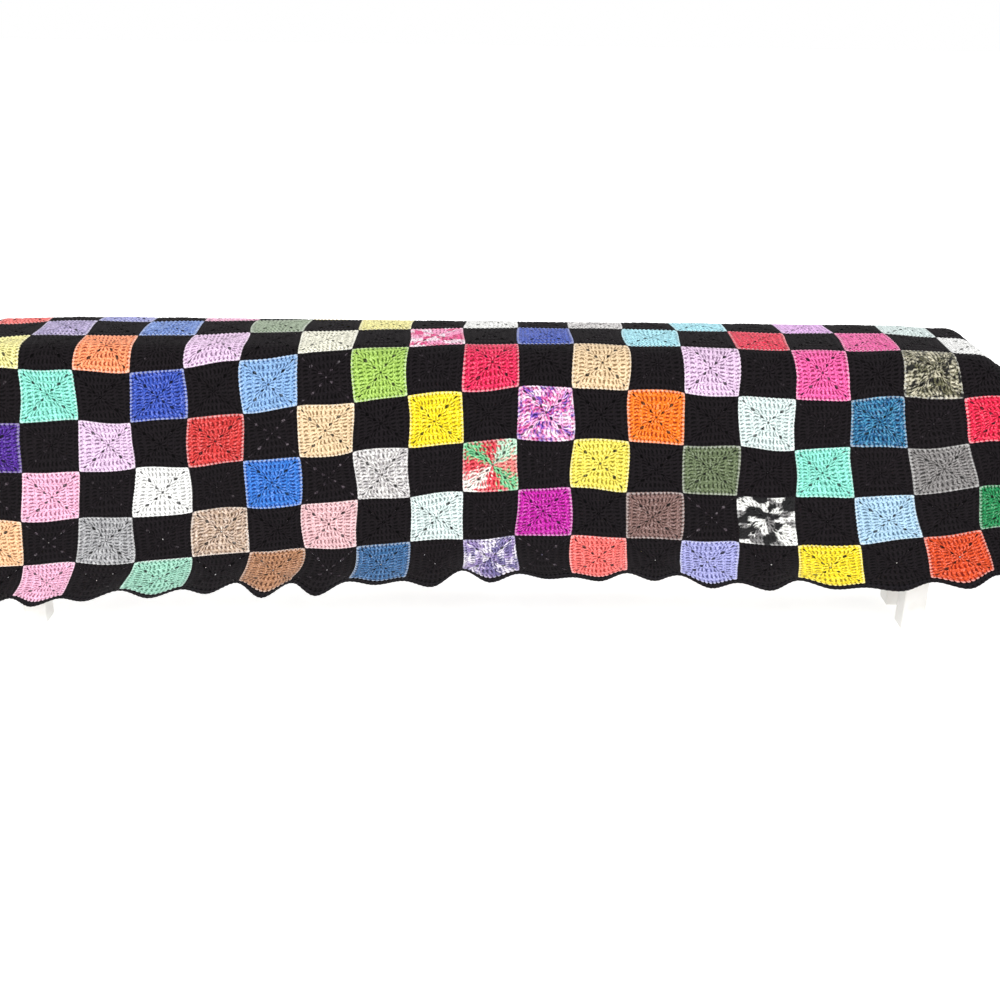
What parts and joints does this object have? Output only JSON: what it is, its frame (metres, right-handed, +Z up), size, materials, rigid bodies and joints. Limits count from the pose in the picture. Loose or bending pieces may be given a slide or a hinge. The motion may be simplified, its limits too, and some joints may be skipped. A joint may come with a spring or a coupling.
{
  "type": "granny square blanket on a plain bench",
  "caption": "Crocheted granny square blanket, bright squares chequered with black, draped over a plain narrow upholstered bench.",
  "frame": {"origin": "on the floor under the middle of the blanket", "axes": "+Z up, +X along the bench towards the viewer's right, -Y towards the front"},
  "size_m": [2.4666, 0.4845, 0.5915],
  "materials": {
    "blanket_yarn": "matt crocheted yarn, bright squares chequered with black",
    "border_yarn": "matt crocheted yarn",
    "upholstery": "matt woven",
    "leg_wood": "painted satin"
  },
  "bodies": {
    "root": {"blanket": "blanket_yarn", "border": "border_yarn", "bench_pad": "upholstery", "bench_body": "upholstery", "leg_front_left": "leg_wood", "leg_front_right": "leg_wood", "leg_back_left": "leg_wood", "leg_back_right": "leg_wood"}
  },
  "joints": []
}
